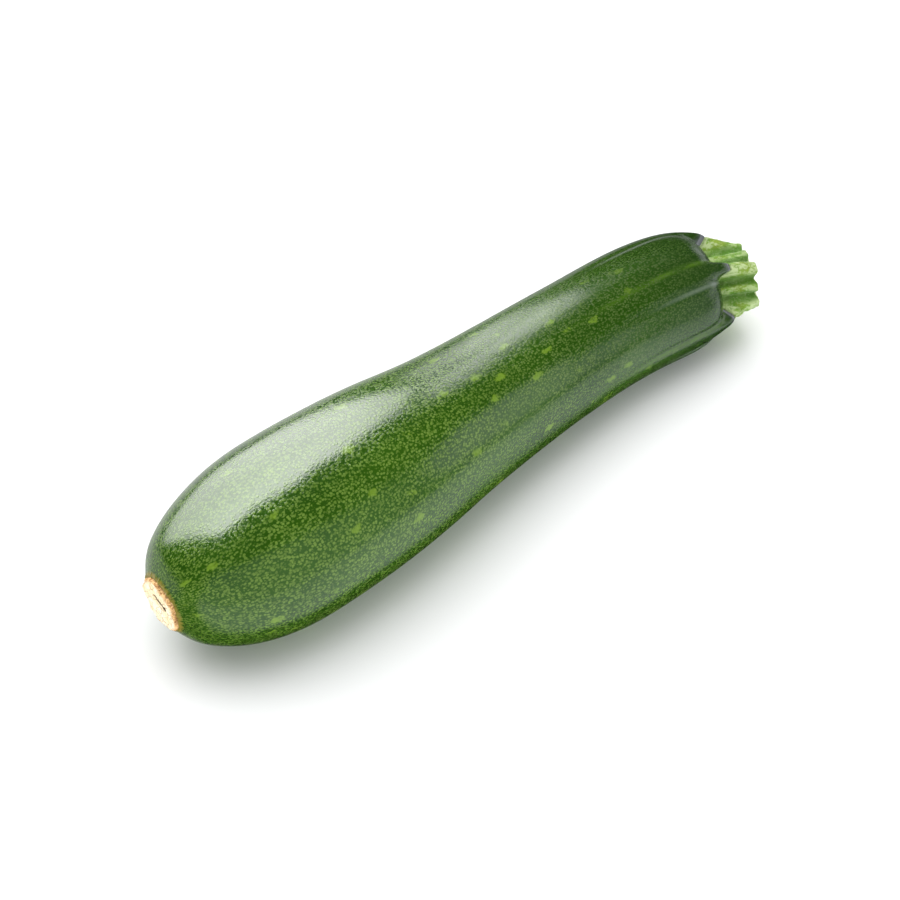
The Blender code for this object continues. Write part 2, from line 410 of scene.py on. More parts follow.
def make_stem():
    ring, column = ring_grid(STEM_RINGS, STEM_COLUMNS)
    turn = column_turn(column, STEM_COLUMNS)
    first_wall, last_wall = BED_RINGS, STEM_RINGS - CUT_SHARES
    fraction = np.clip((ring - first_wall) / (last_wall - first_wall), 0.0, 1.0)
    x, radius, round_at, height = stem_surface(fraction, turn)
    in_foot = ring <= first_wall
    foot_radius = stem_wall(np.zeros_like(turn), turn)[1]
    edge_radius = fruit_wall(np.ones_like(turn), turn)[1]
    share = np.clip(ring / first_wall, 0.0, 1.0)
    bed_x, bed_radius = stem_bed(share * np.minimum(foot_radius / edge_radius, FOOT_LIMIT), turn)
    x = np.where(in_foot, bed_x + FOOT_LIFT, x)
    radius = np.where(in_foot, bed_radius, radius)
    # The cut end: a thin rim that rounds over, then flesh that dips towards a star of pith
    in_cut = ring > last_wall
    share = np.clip((STEM_RINGS - ring) / CUT_SHARES, 0.0, 1.0)
    edge_x, edge_radius = stem_surface(np.ones_like(turn), turn)[:2]
    face_at = np.stack([share * edge_radius * np.cos(turn), share * edge_radius * np.sin(turn), 0 * turn], 1)
    dip = CUT_HOLLOW * (1 - smooth_step(DIP_FULL, DIP_END, share))
    at_rim = smooth_step(CUT_RIM_START, CUT_RIM_FULL, share)
    star_width = STAR_WIDTH + STAR_UNEVEN * np.cos(RIBS * (turn - math.radians(RIB_TURN)))
    star = STAR_DEPTH * bell(share, star_width)
    rough = layered(face_at, CUT_ROUGHNESS)
    cut_x = (CUT_X - CUT_DROP - dip - star) * (1 - at_rim) + (edge_x - CUT_EDGE_DROP) * at_rim
    cut_x += rough * smooth_step(1.0, 0.9, share)
    x = np.where(in_cut, cut_x, x)
    radius = np.where(in_cut, edge_radius * share, radius)
    points = placed(x, radius, turn)
    pole_x = np.array([STEM_BED_X + FOOT_LIFT, CUT_X - CUT_DROP - CUT_HOLLOW - STAR_DEPTH])
    poles = placed(pole_x, np.zeros(2), np.zeros(2))
    made = closed_form("courgette_stem", points, STEM_COLUMNS, poles[0], poles[1])
    paint(made, "stem_at", with_poles(round_at, STEM_COLUMNS))
    paint(made, "stem_zone", with_poles(np.stack([height, fraction, in_cut * 1.0], 1), STEM_COLUMNS))
    cut_values = with_poles(np.stack([share * np.cos(turn), share * np.sin(turn), share], 1), STEM_COLUMNS)
    cut_values[-1] = 0.0
    paint(made, "stem_cut", cut_values)
    return made


def spikes(name, roots, tips, width, seed):
    """Closed three-sided spikes, one from each root to its tip."""
    draw = np.random.default_rng(seed)
    along = tips - roots
    along /= np.linalg.norm(along, axis=1, keepdims=True)
    side = np.cross(along, draw.normal(size=along.shape))
    side /= np.linalg.norm(side, axis=1, keepdims=True)
    other = np.cross(along, side)
    corners, faces = [], []
    for i in range(len(roots)):
        for k in range(3):
            angle = 2 * math.pi * k / 3
            corners.append(roots[i] + width * (side[i] * math.cos(angle) + other[i] * math.sin(angle)))
        corners.append(tips[i])
        a = 4 * i
        faces += [(a, a + 2, a + 1), (a, a + 1, a + 3), (a + 1, a + 2, a + 3), (a + 2, a, a + 3)]
    mesh = bpy.data.meshes.new(name)
    corners = (np.array(corners) - (BOX_MIDDLE_X, 0.0, 0.0)) * MM
    mesh.from_pydata(corners.tolist(), [], faces)
    made = bpy.data.objects.new(name, mesh)
    bpy.context.scene.collection.objects.link(made)
    return made


# Down on the stem, drawn at random and thinned out in the grooves
HAIRS = 3600
HAIR_PLACES = (0.03, 0.99)
HAIR_WIDTH = 0.022
HAIR_LENGTH = (0.25, 0.6)
HAIR_ROOT = 0.04
HAIR_LEAN = 0.45
HAIR_SHARE_IN_GROOVE = 0.35
HAIR_FREE_END = 0.3


def make_hairs():
    """Short down on the stem's side, leaning every way."""
    draw = np.random.default_rng(21)
    turn = draw.uniform(0.0, 2 * math.pi, HAIRS)
    fraction = draw.uniform(*HAIR_PLACES, HAIRS)
    x, radius, _, height = stem_surface(fraction, turn)
    kept = draw.uniform(size=HAIRS) < HAIR_SHARE_IN_GROOVE + (1.0 - HAIR_SHARE_IN_GROOVE) * height
    x, radius, turn = x[kept], radius[kept], turn[kept]
    roots = placed(x, radius - HAIR_ROOT, turn)
    out = roots - placed(x, np.zeros_like(x), turn)
    out /= np.linalg.norm(out, axis=1, keepdims=True)
    heading = out + draw.normal(scale=HAIR_LEAN, size=out.shape)
    heading /= np.linalg.norm(heading, axis=1, keepdims=True)
    tips = roots + heading * draw.uniform(*HAIR_LENGTH, len(out))[:, None]
    limit = placed(np.full(1, CUT_X - HAIR_FREE_END), np.zeros(1), np.zeros(1))[0, 0]
    inside = tips[:, 0] < limit
    return spikes("stem_hairs", roots[inside], tips[inside], HAIR_WIDTH, 22)


# The scar's section, from the middle of its face over its rim and back under it:
# share of the way along, share of the radius, and height in millimetres
SCAR_SECTION = [
    (0.00, 0.00, 0.95),
    (0.35, 0.45, 1.15),
    (0.62, 0.86, 1.30),
    (0.74, 0.97, 1.15),
    (0.82, 1.00, 0.75),
    (0.88, 1.00, 0.35),
    (0.94, 0.98, 0.02),
    (1.00, 0.00, 0.00),
]
# Shares of the way where the face ends, the rim's relief ends and the underside starts
FACE_END, FACE_FULL = 0.80, 0.70
RIM_RELIEF_END, RIM_RELIEF_FULL = 0.93, 0.85
UNDERSIDE = 0.9
# Shares of the radius where the rim's relief starts and is full
RIM_RELIEF_FROM, RIM_RELIEF_ALL = 0.45, 0.8
SCAR_TEXTURE_DEPTH = 3.0
SCAR_INSET = 0.1
SCAR_EDGE_RELIEF = [(1.6, 0.22, 31), (0.7, 0.10, 32)]
SCAR_FACE_RELIEF = [(3.0, 0.16, 33), (1.0, 0.08, 34)]
SCAR_TOP = 1.5
# The split, a crooked slot through the face
SPLIT_PLACE = (-0.4, 1.1)
SPLIT_BEND, SPLIT_BEND_PITCH = 0.5, 0.9
SPLIT_HALF_WIDTH, SPLIT_DEPTH = 0.42, 0.75
SPLIT_END, SPLIT_FULL = 3.4, 2.2
SPLIT_FLOOR = 0.12


def make_scar():
    """The corky disc: a raised ragged rim, a flat face and a split beside its middle."""
    ring, column = ring_grid(SCAR_RINGS, SCAR_COLUMNS)
    turn = 2 * math.pi * column / SCAR_COLUMNS
    knots, shares, heights = np.array(SCAR_SECTION).T
    t = ring / SCAR_RINGS
    share = np.interp(t, knots, shares)
    height = np.interp(t, knots, heights)
    radius = np.full(len(turn), SCAR_RADIUS - SCAR_INSET)
    for waves, size, start in SCAR_UNEVEN:
        radius += size * np.cos(waves * turn + math.radians(start))
    at = np.stack([radius * share * np.cos(turn), radius * share * np.sin(turn), SCAR_TEXTURE_DEPTH * t], 1)
    on_face = smooth_step(FACE_END, FACE_FULL, t)
    outer = smooth_step(RIM_RELIEF_FROM, RIM_RELIEF_ALL, share)
    outer = outer * smooth_step(RIM_RELIEF_END, RIM_RELIEF_FULL, t)
    radius = radius * share + outer * layered(at, SCAR_EDGE_RELIEF)
    height = height + on_face * layered(at, SCAR_FACE_RELIEF)
    split_at = at[:, 1] - SPLIT_PLACE[1] - SPLIT_BEND * np.sin(at[:, 0] * SPLIT_BEND_PITCH)
    along_split = smooth_step(SPLIT_END, SPLIT_FULL, np.abs(at[:, 0] - SPLIT_PLACE[0]))
    split = bell(split_at, SPLIT_HALF_WIDTH) * along_split * on_face
    height = np.maximum(height - SPLIT_DEPTH * split, SPLIT_FLOOR * (t < UNDERSIDE))
    height = np.minimum(height, SCAR_TOP)
    centre, side, up = middle(np.full(len(turn), SCAR_BED_X))
    outward = np.cross(up, side)
    across = side * np.cos(turn)[:, None] + up * np.sin(turn)[:, None]
    points = centre + radius[:, None] * across + height[:, None] * outward
    face_pole = centre[0] + outward[0] * SCAR_SECTION[0][2]
    made = closed_form("courgette_scar", points, SCAR_COLUMNS, face_pole, centre[0])
    paint(made, "scar_at", with_poles(at, SCAR_COLUMNS))
    zone = np.stack([share * on_face + (1 - on_face), split, on_face], 1)
    paint(made, "scar_zone", with_poles(zone, SCAR_COLUMNS))
    return made


class Graph:
    """The nodes of one material or of the world."""

    def __init__(self, tree):
        self.tree = tree
        self.tree.nodes.clear()

    def add(self, kind, inputs=(), **settings):
        made = self.tree.nodes.new(kind)
        for key, value in settings.items():
            setattr(made, key, value)
        for key, value in dict(inputs).items():
            if isinstance(value, bpy.types.NodeSocket):
                self.tree.links.new(value, made.inputs[key])
            else:
                made.inputs[key].default_value = value
        return made

    def attribute(self, name):
        return self.add("ShaderNodeAttribute", attribute_name=name).outputs["Vector"]

    def parts(self, vector):
        return self.add("ShaderNodeSeparateXYZ", {0: vector}).outputs

    def sum(self, a, b):
        return self.add("ShaderNodeMath", {0: a, 1: b}, operation="ADD").outputs[0]

    def times(self, a, b):
        return self.add("ShaderNodeMath", {0: a, 1: b}, operation="MULTIPLY").outputs[0]

    def larger(self, a, b):
        return self.add("ShaderNodeMath", {0: a, 1: b}, operation="MAXIMUM").outputs[0]

    def scaled(self, vector, by):
        return self.add("ShaderNodeVectorMath", {0: vector, 1: by}, operation="MULTIPLY").outputs[0]

    def shifted(self, vector, by):
        return self.add("ShaderNodeVectorMath", {0: vector, 1: by}, operation="ADD").outputs[0]

    def noise(self, vector, size, detail=2.0, rough=0.5):
        inputs = {"Vector": vector, "Scale": 1.0 / size, "Detail": detail, "Roughness": rough}
        return self.add("ShaderNodeTexNoise", inputs).outputs

    def cells(self, vector, size, feature="F1", randomness=1.0):
        inputs = {"Vector": vector, "Scale": 1.0 / size, "Randomness": randomness}
        return self.add("ShaderNodeTexVoronoi", inputs, feature=feature).outputs

    def ramp(self, value, start, full, low=0.0, high=1.0):
        inputs = {"Value": value, "From Min": start, "From Max": full, "To Min": low, "To Max": high}
        return self.add("ShaderNodeMapRange", inputs, interpolation_type="SMOOTHSTEP").outputs[0]

    def mix(self, factor, first, second):
        inputs = {0: factor, 6: first, 7: second}
        return self.add("ShaderNodeMix", inputs, data_type="RGBA", clamp_factor=True).outputs[2]

    def bump(self, height, strength, distance, normal=None):
        inputs = {"Height": height, "Strength": strength, "Distance": distance * MM}
        if normal is not None:
            inputs["Normal"] = normal
        return self.add("ShaderNodeBump", inputs).outputs[0]

    def principled(self, inputs):
        shader = self.add("ShaderNodeBsdfPrincipled", inputs)
        self.add("ShaderNodeOutputMaterial", {"Surface": shader.outputs[0]})

    def glowing(self, colour, strength):
        glow = self.add("ShaderNodeEmission", {"Color": colour, "Strength": strength})
        self.add("ShaderNodeOutputMaterial", {"Surface": glow.outputs[0]})

    def here(self):
        """The place on the object, in metres."""
        return self.add("ShaderNodeTexCoord").outputs["Object"]


def new_material(name):
    made = bpy.data.materials.new(name)
    made.use_nodes = True
    return made, Graph(made.node_tree)


def rgb(red, green, blue):
    return (red, green, blue, 1.0)


# Colours of the skin, in linear light. The grey line and the two rim greys are painted reflected light, and
# the grey-black on the rib tips is painted shade
GROUND_DEEP, GROUND_MID = rgb(0.015, 0.054, 0.0022), rgb(0.025, 0.078, 0.0034)
GROUND_BY_STEM = rgb(0.014, 0.040, 0.0060)
FLECK, FLECK_ON_NECK = rgb(0.118, 0.205, 0.030), rgb(0.082, 0.138, 0.030)
FLECK_BY_STEM = rgb(0.054, 0.096, 0.022)
SPOT = rgb(0.145, 0.250, 0.022)
GREEN_LINE, PAINTED_HIGHLIGHT_LINE = rgb(0.070, 0.150, 0.010), rgb(0.19, 0.235, 0.19)
PAINTED_RIM_SHEEN, PAINTED_RIM_HIGHLIGHT = rgb(0.10, 0.125, 0.12), rgb(0.42, 0.44, 0.49)
PAINTED_TIP_SHADE = rgb(0.045, 0.050, 0.052)
DRY_SKIN = rgb(0.24, 0.19, 0.035)
# Sizes of the skin's marks, in millimetres
COARSE_FLECKS, FINE_FLECKS = 0.57, 0.38
SPOTS = 4.1


def skin_flecks(g, at, loose):
    """Two sizes of pale fleck, each cell with its own strength."""
    coarse = g.cells(loose, COARSE_FLECKS, randomness=0.85)
    coarse_strength = g.ramp(g.parts(coarse["Color"])[0], 0.0, 0.7, 0.5, 0.95)
    coarse_mask = g.times(g.ramp(coarse["Distance"], 0.56, 0.34), coarse_strength)
    fine = g.cells(loose, FINE_FLECKS)
    fine_strength = g.ramp(g.parts(fine["Color"])[1], 0.3, 0.9, 0.0, 0.8)
    fine_mask = g.times(g.ramp(fine["Distance"], 0.50, 0.20), fine_strength)
    patches = g.ramp(g.noise(g.scaled(at, (0.5, 1.0, 1.0)), 9.0, 3.0)["Fac"], 0.32, 0.62, 0.75, 1.0)
    return g.times(g.larger(coarse_mask, fine_mask), patches)


def skin_spots(g, at, to_stem):
    """Larger yellow-green spots with frayed edges, in some of the cells and fainter by the stem."""
    shift = g.scaled(g.noise(at, 1.5, 3.0)["Color"], (1.9, 1.9, 1.9))
    spot = g.cells(g.shifted(g.scaled(at, (0.5, 1.0, 1.0)), shift), SPOTS)
    fray = g.noise(g.shifted(at, (1.0, 4.0, 6.0)), 0.55, 2.0)["Fac"]
    frayed = g.sum(spot["Distance"], g.times(fray, 0.22))
    present = g.ramp(g.parts(spot["Color"])[0], 0.54, 0.60)
    strength = g.times(present, g.ramp(to_stem, 10.0, 60.0, 0.12, 1.0))
    return g.times(g.ramp(frayed, 0.38, 0.25), strength)


def skin_ground(g, at, to_stem, green_line):
    """Ground colour, which drifts from deep to mid green and has a broken yellow-green line by each rib."""
    drift = g.noise(g.scaled(at, (0.45, 1.0, 1.0)), 16.0, 3.0)["Fac"]
    ground = g.mix(g.ramp(drift, 0.35, 0.68), GROUND_DEEP, GROUND_MID)
    ground = g.mix(g.ramp(to_stem, 44.0, 4.0, 0.0, 0.9), ground, GROUND_BY_STEM)
    broken = g.ramp(g.noise(g.scaled(at, (0.25, 1.0, 1.0)), 1.6, 2.0)["Fac"], 0.36, 0.60, 0.25, 1.0)
    stripe = g.times(g.times(green_line, broken), g.ramp(to_stem, 1.5, 9.0))
    return g.mix(g.times(stripe, 0.7), ground, GREEN_LINE)


def skin_material():
    made, g = new_material("courgette_skin")
    at = g.attribute("skin_at")
    green_line, painted_highlight_line, on_rib = g.parts(g.attribute("skin_zone"))
    to_stem, from_scar, rim = g.parts(g.attribute("skin_end"))
    # The flecks are a little longer than wide, and stray from their cells
    long_at = g.scaled(at, (0.72, 1.0, 1.0))
    wander = g.scaled(g.noise(at, 0.9)["Color"], (0.4, 0.4, 0.4))
    flecks = skin_flecks(g, at, g.shifted(long_at, wander))
    fleck_colour = g.mix(g.ramp(to_stem, 115.0, 35.0), FLECK, FLECK_ON_NECK)
    fleck_colour = g.mix(g.ramp(to_stem, 60.0, 18.0), fleck_colour, FLECK_BY_STEM)
    colour = skin_ground(g, at, to_stem, green_line)
    colour = g.mix(g.times(flecks, g.ramp(to_stem, 1.0, 24.0, 0.35, 1.0)), colour, fleck_colour)
    # Painted highlight: a grey line of reflected light along the crease beside each rib
    colour = g.mix(g.times(painted_highlight_line, 0.48), colour, PAINTED_HIGHLIGHT_LINE)
    colour = g.mix(g.times(skin_spots(g, at, to_stem), 0.75), colour, SPOT)
    # Painted grey sheen along the last of the cheeks, a painted highlight on their very edge, painted shade
    # on the rib's tip, a dry brown edge round the scar
    # Painted sheen and painted highlight: reflected grey light on the rounded ends of the cheeks
    colour = g.mix(g.times(rim, 0.45), colour, PAINTED_RIM_SHEEN)
    colour = g.mix(g.ramp(rim, 0.55, 0.95, 0.0, 0.85), colour, PAINTED_RIM_HIGHLIGHT)
    # Painted shade: grey-black on each rib's tip where it meets the stem
    colour = g.mix(g.times(g.times(rim, on_rib), 0.85), colour, PAINTED_TIP_SHADE)
    dry = g.ramp(g.sum(from_scar, g.times(g.noise(at, 1.2, 3.0)["Fac"], 1.6)), 2.0, 1.0)
    colour = g.mix(g.times(dry, 0.85), colour, DRY_SKIN)
    # Wax, uneven at the size of the flecks
    pebble = g.noise(g.shifted(long_at, (3.0, 1.0, 2.0)), 0.55, 2.0, 0.6)["Fac"]
    height = g.sum(g.times(flecks, 0.6), pebble)
    swell = g.noise(g.scaled(at, (0.35, 1.0, 1.0)), 3.2, 2.0)["Fac"]
    normal = g.bump(swell, 0.40, 0.10)
    normal = g.bump(height, 0.7, 0.045, normal)
    dull = g.ramp(g.noise(at, 0.9, 3.0)["Fac"], 0.3, 0.7, 0.10, 0.18)
    g.principled(
        {
            "Base Color": colour,
            "Roughness": g.sum(dull, g.times(flecks, 0.03)),
            "IOR": 1.46,
            "Specular IOR Level": 0.5,
            "Coat Weight": 0.25,
            "Coat Roughness": 0.05,
            "Coat IOR": 1.5,
            "Normal": normal,
            "Coat Normal": normal,
        }
    )
    return made


# Colours of the stem's side, its cut face and its down, and the size of the vessels as a share of the face
STEM_DEEP, STEM_LIGHT = rgb(0.085, 0.21, 0.006), rgb(0.16, 0.31, 0.022)
STEM_YELLOW, STEM_GROOVE = rgb(0.23, 0.29, 0.010), rgb(0.055, 0.165, 0.002)
STEM_DOWN, STEM_FOOT = rgb(0.40, 0.50, 0.23), rgb(0.09, 0.15, 0.03)
FLESH_DEEP, FLESH_PALE = rgb(0.42, 0.50, 0.24), rgb(0.60, 0.66, 0.40)
VESSEL, PITH = rgb(0.22, 0.32, 0.08), rgb(0.40, 0.34, 0.15)
CUT_RIM_GREEN = rgb(0.17, 0.32, 0.04)
HAIR_DEEP, HAIR_PALE = rgb(0.36, 0.50, 0.20), rgb(0.66, 0.74, 0.48)
VESSELS = 0.24


def stem_material():
    made, g = new_material("stem_flesh")
    at = g.attribute("stem_at")
    height, fraction, in_cut = g.parts(g.attribute("stem_zone"))
    cut = g.attribute("stem_cut")
    share = g.parts(cut)[2]
    fibre = g.noise(g.scaled(at, (0.22, 1.0, 1.0)), 0.9, 4.0, 0.6)["Fac"]
    mottle = g.noise(at, 0.55, 3.0, 0.6)["Fac"]
    body = g.mix(g.ramp(fibre, 0.35, 0.65), STEM_DEEP, STEM_LIGHT)
    tone = g.noise(g.shifted(at, (5.0, 2.0, 9.0)), 6.0, 2.0)["Fac"]
    body = g.mix(g.ramp(tone, 0.45, 0.65, 0.0, 0.5), body, STEM_YELLOW)
    body = g.mix(g.ramp(height, 0.75, 0.15, 0.0, 0.9), body, STEM_GROOVE)
    streak = g.noise(g.scaled(at, (0.4, 1.0, 1.0)), 1.5, 3.0, 0.6)["Fac"]
    on_ridge = g.ramp(height, 0.2, 0.9, 0.15, 1.0)
    down = g.times(g.ramp(g.sum(streak, g.times(mottle, 0.6)), 0.70, 0.90), on_ridge)
    body = g.mix(down, body, STEM_DOWN)
    foot = g.ramp(g.sum(fraction, g.times(mottle, 0.06)), 0.10, 0.03)
    body = g.mix(g.times(foot, 0.6), body, STEM_FOOT)
    # The cut face: green rim, pale flesh with strands, a ring of vessels and a browned star
    grain = g.noise(cut, 0.07, 4.0, 0.65)["Fac"]
    flesh = g.mix(g.ramp(grain, 0.3, 0.7), FLESH_DEEP, FLESH_PALE)
    vessels = g.times(g.ramp(g.cells(cut, VESSELS)["Distance"], 0.34, 0.16), g.ramp(share, 0.40, 0.55))
    vessels = g.times(vessels, g.ramp(share, 0.88, 0.78))
    flesh = g.mix(g.times(vessels, 0.7), flesh, VESSEL)
    flesh = g.mix(g.ramp(g.sum(share, g.times(grain, 0.12)), 0.36, 0.16), flesh, PITH)
    flesh = g.mix(g.ramp(share, 0.86, 0.95), flesh, CUT_RIM_GREEN)
    colour = g.mix(in_cut, body, flesh)
    ridge_normal = g.bump(fibre, 0.7, 0.25)
    normal = g.bump(g.sum(mottle, g.times(grain, in_cut)), 0.8, 0.14, ridge_normal)
    g.principled(
        {
            "Base Color": colour,
            "Roughness": g.ramp(mottle, 0.3, 0.7, 0.48, 0.68),
            "IOR": 1.42,
            "Sheen Weight": 0.25,
            "Sheen Roughness": 0.4,
            "Sheen Tint": rgb(0.85, 0.95, 0.75),
            "Normal": normal,
        }
    )
    return made


def hair_material():
    made, g = new_material("stem_down")
    tone = g.noise(g.here(), 2.0 * MM, 1.0)["Fac"]
    colour = g.mix(tone, HAIR_DEEP, HAIR_PALE)
    g.principled({"Base Color": colour, "Roughness": 0.5, "IOR": 1.45})
    return made


# Colours of the scar, and the size of the plates between its cracks
CORK_WARM, CORK_CREAM = rgb(0.88, 0.70, 0.42), rgb(0.93, 0.84, 0.62)
CORK_BROWN, CORK_EDGE = rgb(0.70, 0.42, 0.17), rgb(0.55, 0.25, 0.07)
CORK_SIDE_DEEP, CORK_SIDE_PALE = rgb(0.42, 0.19, 0.045), rgb(0.86, 0.58, 0.26)
CRACK, SPLIT_BOTTOM = rgb(0.28, 0.13, 0.04), rgb(0.07, 0.028, 0.008)
PLATES = 1.7


def cork_material():
    made, g = new_material("scar_cork")
    at = g.attribute("scar_at")
    share, split, on_face = g.parts(g.attribute("scar_zone"))
    grain = g.noise(at, 0.5, 4.0, 0.65)["Fac"]
    cloud = g.noise(g.shifted(at, (7.0, 3.0, 1.0)), 3.0, 3.0)["Fac"]
    colour = g.mix(g.ramp(cloud, 0.35, 0.65), CORK_WARM, CORK_CREAM)
    colour = g.mix(g.ramp(grain, 0.48, 0.34, 0.0, 0.4), colour, CORK_BROWN)
    ragged = g.sum(share, g.times(cloud, 0.25))
    colour = g.mix(g.ramp(ragged, 0.98, 1.16, 0.0, 0.8), colour, CORK_EDGE)
    side = g.mix(g.ramp(grain, 0.42, 0.58), CORK_SIDE_DEEP, CORK_SIDE_PALE)
    colour = g.mix(g.ramp(on_face, 0.6, 0.1, 0.0, 0.8), colour, side)
    wander = g.scaled(g.noise(at, 0.8, 3.0)["Color"], (0.8, 0.8, 0.8))
    cracks = g.cells(g.shifted(at, wander), PLATES, "DISTANCE_TO_EDGE")
    line = g.ramp(cracks["Distance"], 0.045, 0.01)
    colour = g.mix(g.times(line, 0.55), colour, CRACK)
    colour = g.mix(g.ramp(split, 0.04, 0.3), colour, SPLIT_BOTTOM)
    height = g.sum(g.times(grain, 0.7), g.times(line, -0.6))
    g.principled(
        {
            "Base Color": colour,
            "Roughness": g.ramp(grain, 0.3, 0.7, 0.7, 0.9),
            "IOR": 1.4,
            "Normal": g.bump(height, 0.9, 0.22),
        }
    )
    return made


skin = make_skin()
skin.data.materials.append(skin_material())
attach(skin, "root")
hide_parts("fruit")

stem = make_stem()
stem.data.materials.append(stem_material())
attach(stem, "root")
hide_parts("stem")

hairs = make_hairs()
hairs.data.materials.append(hair_material())
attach(hairs, "root")

scar = make_scar()
scar.data.materials.append(cork_material())
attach(scar, "root")
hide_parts("blossom_scar")


WHITE = rgb(1.0, 1.0, 1.0)
# Floor, as wide as the room
FLOOR_HALF = 4.0
FLOOR_COLOUR = rgb(0.80, 0.805, 0.81)
FLOOR_GLOW = rgb(0.95, 0.98, 1.0)
# What the floor gains where the camera sees it, and where it lights the underside
FLOOR_LIFT = 0.04
FLOOR_BOUNCE = 1.0

# Long softbox, in the plane where Y and Z add up to its reach. All its lengths are in metres
SOFTBOX_REACH = 0.300
SOFTBOX_SPAN = (-0.25, 0.30)
# Each edge gives the position where the light is gone, then the one where it is full
SOFTBOX_LEFT, SOFTBOX_RIGHT = (-0.200, -0.180), (0.190, 0.160)
SOFTBOX_TOP, SOFTBOX_BOTTOM = (0.293, 0.286), (0.035, 0.050)
TOP_SLOPE, SLOPING_TOP = 0.44, (0.310, 0.301)
BOTTOM_SLOPE, CLIMBING_BOTTOM = -1.6, (-0.110, -0.075)
SOFTBOX_DIMMER = (0.075, 0.140, 1.0, 0.72)
SOFTBOX_RISE, SOFTBOX_BASE = 37.0, 1.5

# Small softbox over the neck
NECK_REACH = 0.150
NECK_SPAN, NECK_HEIGHTS = (0.058, 0.116), (0.030, 0.120)
NECK_LEFT, NECK_RIGHT = (0.060, 0.070), (0.098, 0.088)
NECK_BOTTOM, NECK_TOP = (0.034, 0.050), (0.118, 0.110)
NECK_SLANT, NECK_LEVEL = -0.3, 0.065
NECK_STREAKS, NECK_STREAK_RANGE = (120, 24, 24), (0.35, 0.65, 0.50, 0.95)
NECK_RISE, NECK_BASE = 88.0, -0.5

# Pale cards round the courgette
FRONT_CORNERS = [(-3.0, -0.6, -2.0), (3.0, -0.6, -2.0), (1.6, -0.6, 0.04), (-1.0, -0.6, 0.69)]
BACK_CORNERS = [(-3.0, 0.6, -1.8), (3.0, 0.6, -1.8), (3.0, 0.6, 0.0), (-3.0, 0.6, 0.0)]
END_CORNERS = [(0.5, -0.5, 0.0), (0.5, 0.2, 0.0), (0.5, 0.2, 0.2), (0.5, -0.5, 0.2)]
FRONT_COLOUR, BACK_COLOUR, END_COLOUR = rgb(0.93, 0.98, 1.0), rgb(0.98, 1.0, 1.0), rgb(0.93, 0.92, 1.0)
FRONT_CARD, LOW_CARD, BACK_CARD, END_CARD = 0.54, 1.05, 0.8, 1.2
# The front card dims towards its right, and its low part takes over between these heights
FRONT_DIMMER = (0.15, 0.60, FRONT_CARD, 0.35 * FRONT_CARD)
LOW_PART_TOP, UPPER_PART_BOTTOM = -0.2, -0.1
LOW_FADE = (-2.0, -0.6, 0.0, LOW_CARD)
BACK_FADE = (-1.8, 0.0, 0.0, BACK_CARD)
BACK_DIMMER = (0.30, 0.55, 1.0, 0.3)

# Light of the room. Its edges go by the direction's height in degrees, where 0 is level behind the
# courgette and 90 is straight up, and by the direction's X
KEY_LIGHT = 2.5
KEY_BEHIND, KEY_BEFORE = (20.0, 55.0), (130.0, 95.0)
KEY_LEFT, KEY_RIGHT = (-0.75, -0.4), (0.80, 0.45)
FRONT_LIGHT = 0.35
FRONT_START, FRONT_FULL = 110.0, 150.0
ROOM_LIGHT = 0.48


def plain_quad(name, corners, looks):
    mesh = bpy.data.meshes.new(name)
    mesh.from_pydata(corners, [], [(0, 1, 2, 3)])
    mesh.materials.append(looks)
    made = bpy.data.objects.new(name, mesh)
    bpy.context.scene.collection.objects.link(made)
    return made


def gloss_card(name, corners, looks):
    """A card whose light shows in glossy skin alone, and not in the picture's background."""
    made = plain_quad(name, corners, looks)
    made.visible_camera = False
    made.visible_diffuse = False
    made.visible_shadow = False


def leaning_card(name, reach, span, heights, looks):
    """A card in the plane where Y and Z add up to reach."""
    left, right = span
    low, high = heights
    corners = [(left, reach - low, low), (right, reach - low, low)]
    corners += [(right, reach - high, high), (left, reach - high, high)]
    gloss_card(name, corners, looks)


def make_floor():
    looks, g = new_material("floor_white")
    path = g.add("ShaderNodeLightPath").outputs
    lift = g.sum(g.times(path["Is Camera Ray"], FLOOR_LIFT), g.times(path["Is Diffuse Ray"], FLOOR_BOUNCE))
    g.principled(
        {
            "Base Color": FLOOR_COLOUR,
            "Roughness": 0.8,
            "Specular IOR Level": 0.0,
            "Emission Color": FLOOR_GLOW,
            "Emission Strength": lift,
        }
    )
    looks.cycles.emission_sampling = "NONE"
    corners = [(-FLOOR_HALF, -FLOOR_HALF, 0.0), (FLOOR_HALF, -FLOOR_HALF, 0.0)]
    corners += [(FLOOR_HALF, FLOOR_HALF, 0.0), (-FLOOR_HALF, FLOOR_HALF, 0.0)]
    made = plain_quad("floor", corners, looks)
    # The cards stand in for it in the gloss, so that the contact shadow leaves the skin's edge green
    made.visible_glossy = False


def make_softbox():
    """The soft light that leans over from behind. It shows in the belly as the long highlight."""
    looks, g = new_material("softbox_light")
    x, _, z = g.parts(g.here())
    top = g.times(g.ramp(z, *SOFTBOX_TOP), g.ramp(g.sum(z, g.times(x, TOP_SLOPE)), *SLOPING_TOP))
    climbing = g.ramp(g.sum(z, g.times(x, BOTTOM_SLOPE)), *CLIMBING_BOTTOM)
    bottom = g.times(g.ramp(z, *SOFTBOX_BOTTOM), climbing)
    sides = g.times(g.ramp(x, *SOFTBOX_LEFT), g.ramp(x, *SOFTBOX_RIGHT))
    shape = g.times(g.times(g.times(top, bottom), sides), g.ramp(x, *SOFTBOX_DIMMER))
    g.glowing(WHITE, g.times(shape, g.sum(g.times(z, SOFTBOX_RISE), SOFTBOX_BASE)))
    leaning_card("softbox", SOFTBOX_REACH, SOFTBOX_SPAN, (0.0, SOFTBOX_REACH), looks)


